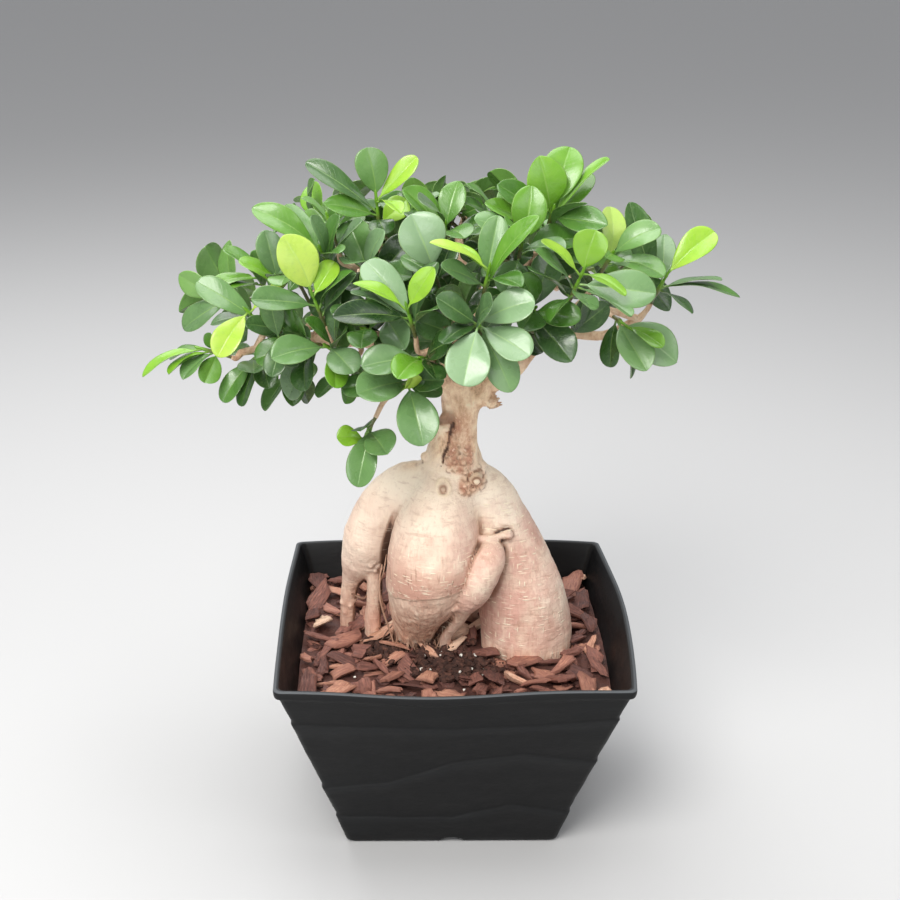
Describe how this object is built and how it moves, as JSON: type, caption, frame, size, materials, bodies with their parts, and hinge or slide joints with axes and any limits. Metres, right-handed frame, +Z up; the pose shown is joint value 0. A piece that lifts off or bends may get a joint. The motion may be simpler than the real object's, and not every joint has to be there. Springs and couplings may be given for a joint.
{
  "type": "potted chinese banyan",
  "caption": "Chinese banyan bonsai with swollen aerial roots and a dense leafy crown, in a square tapered black pot with bark mulch.",
  "frame": {"origin": "centre of the underside of the pot, on the surface that it stands on", "axes": "+Z up, -Y toward the front of the plant, +X to the right seen from the front"},
  "size_m": [0.395, 0.3132, 0.488],
  "materials": {
    "pot": "satin black, slate-like relief",
    "soil": "dark damp compost",
    "bark": "rough pine bark chips",
    "wood": "smooth pale root bark with short light lenticels",
    "leaf": "waxy dark green leaf",
    "young_leaf": "waxy yellow-green young leaf"
  },
  "bodies": {
    "root": {"bark_mulch": "bark", "pot": "pot", "soil": "soil", "spray_back_1": "leaf", "spray_back_2": "leaf", "spray_back_3": "leaf", "spray_back_4": "leaf", "spray_back_5": "leaf", "spray_back_6": "leaf", "spray_back_7": "leaf", "spray_back_8": "leaf", "spray_centre_inner": "leaf", "spray_centre_left": "leaf", "spray_centre_rosette": "leaf", "spray_centre_round": "leaf", "spray_centre_shade": "leaf", "spray_far_left": "leaf", "spray_hanging": "leaf", "spray_inner_1": "leaf", "spray_inner_10": "leaf", "spray_inner_11": "leaf", "spray_inner_2": "leaf", "spray_inner_3": "leaf", "spray_inner_4": "leaf", "spray_inner_5": "leaf", "spray_inner_6": "leaf", "spray_inner_7": "leaf", "spray_inner_8": "leaf", "spray_inner_9": "leaf", "spray_left_blue": "leaf", "spray_left_centre": "leaf", "spray_left_hem": "leaf", "spray_left_low": "leaf", "spray_left_low_inner": "leaf", "spray_left_outer": "leaf", "spray_left_shoulder": "leaf", "spray_left_upper_back": "leaf", "spray_left_yellow": "leaf", "spray_middle_sheen": "leaf", "spray_middle_yellow": "leaf", "spray_right_bright": "leaf", "spray_right_low": "leaf", "spray_right_outer": "leaf", "spray_top_inner": "leaf", "spray_top_left": "leaf", "spray_top_middle": "leaf", "spray_top_right": "leaf", "spray_upper_left": "leaf", "tree_wood": "wood", "young_centre_left": "young_leaf", "young_centre_round": "young_leaf", "young_hanging": "young_leaf", "young_left_outer": "young_leaf", "young_left_yellow": "young_leaf", "young_middle_yellow": "young_leaf", "young_right_bright": "young_leaf", "young_right_low": "young_leaf", "young_right_outer": "young_leaf", "young_top_left": "young_leaf"}
  },
  "joints": []
}
